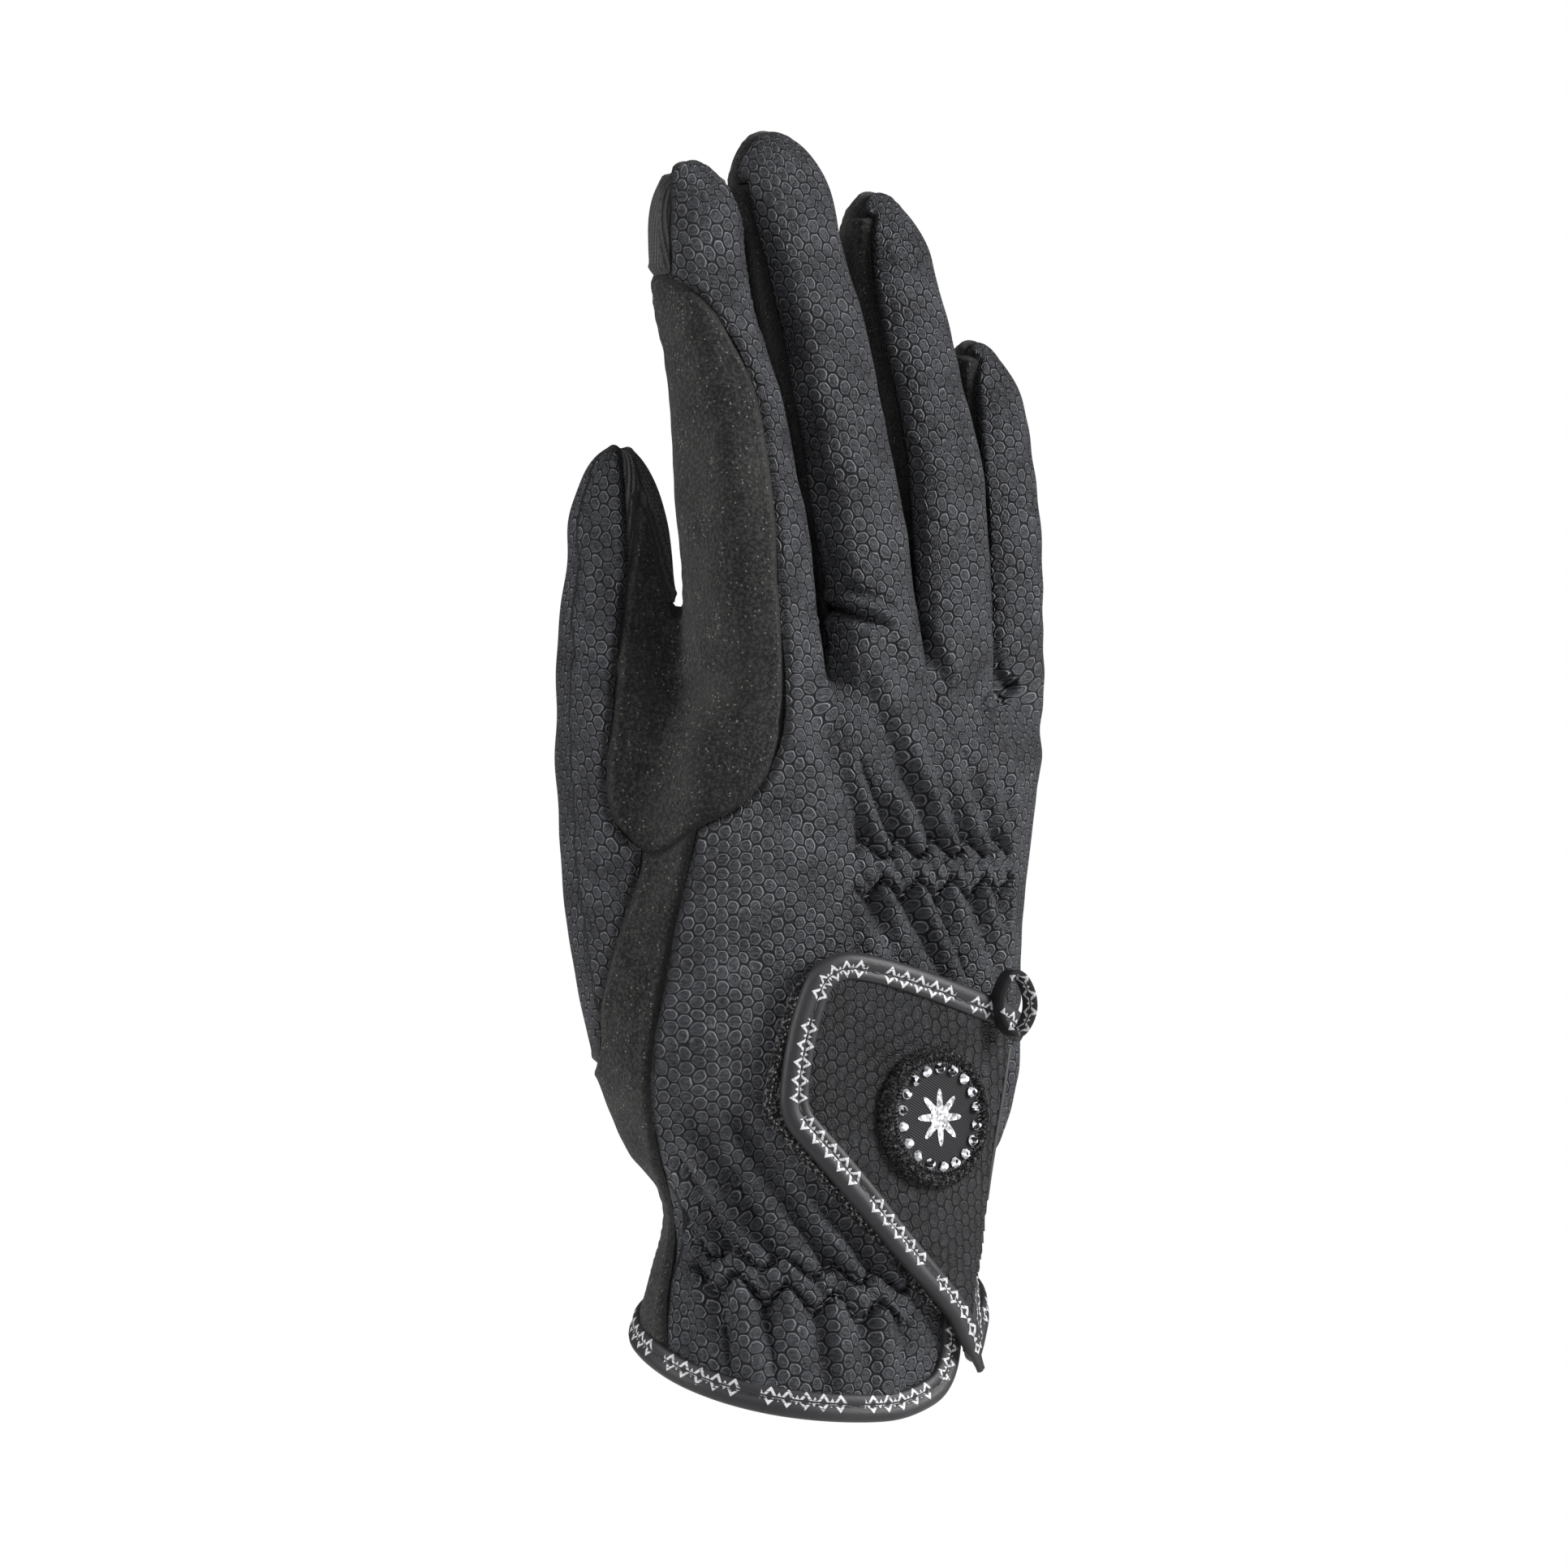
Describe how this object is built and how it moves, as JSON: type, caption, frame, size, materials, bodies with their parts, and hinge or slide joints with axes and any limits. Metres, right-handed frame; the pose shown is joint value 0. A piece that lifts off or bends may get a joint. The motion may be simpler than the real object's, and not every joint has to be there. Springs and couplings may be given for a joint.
{
  "type": "horse riding glove",
  "caption": "Right-hand riding glove of scaled leather and suede, with gathers at knuckles and wrist, a bound closure tab and a round badge set with small stones.",
  "frame": {"origin": "centre of the opening where the hand goes in", "axes": "+Z from the wrist to the fingertips; the back of the hand looks to -Y, the palm to +Y and the thumb is on the -X side"},
  "size_m": [0.0897, 0.056, 0.228],
  "materials": {
    "leather": "black synthetic leather embossed with small round scales, satin",
    "suede": "warm black synthetic suede, matt, with fine fibre flecks",
    "mesh": "black knitted mesh with a grid of about one millimetre",
    "tape": "charcoal ribbed binding tape with small silver marks",
    "pile": "very black loop pile",
    "satin": "black satin twill with a silver rosette",
    "crystal": "clear foil-backed cut crystal"
  },
  "bodies": {
    "root": {"back_panel": "leather", "thumb_outer": "leather", "closure_tab": "leather", "palm_panel": "suede", "index_side_panel": "suede", "wrist_gusset": "suede", "thumb_inner": "suede", "fork_index_middle": "suede", "fork_middle_ring": "suede", "fork_ring_little": "suede", "index_tip_mesh": "mesh", "thumb_tip_mesh": "mesh", "opening_binding": "tape", "tab_binding": "tape", "pull_loop": "tape", "loop_pad": "pile", "badge_rim": "pile", "badge_disc": "satin", "stone_01": "crystal", "stone_02": "crystal", "stone_03": "crystal", "stone_04": "crystal", "stone_05": "crystal", "stone_06": "crystal", "stone_07": "crystal", "stone_08": "crystal", "stone_09": "crystal", "stone_10": "crystal", "stone_11": "crystal", "stone_12": "crystal", "stone_13": "crystal", "stone_14": "crystal", "stone_15": "crystal", "stone_16": "crystal", "stone_17": "crystal", "stone_18": "crystal"}
  },
  "joints": []
}
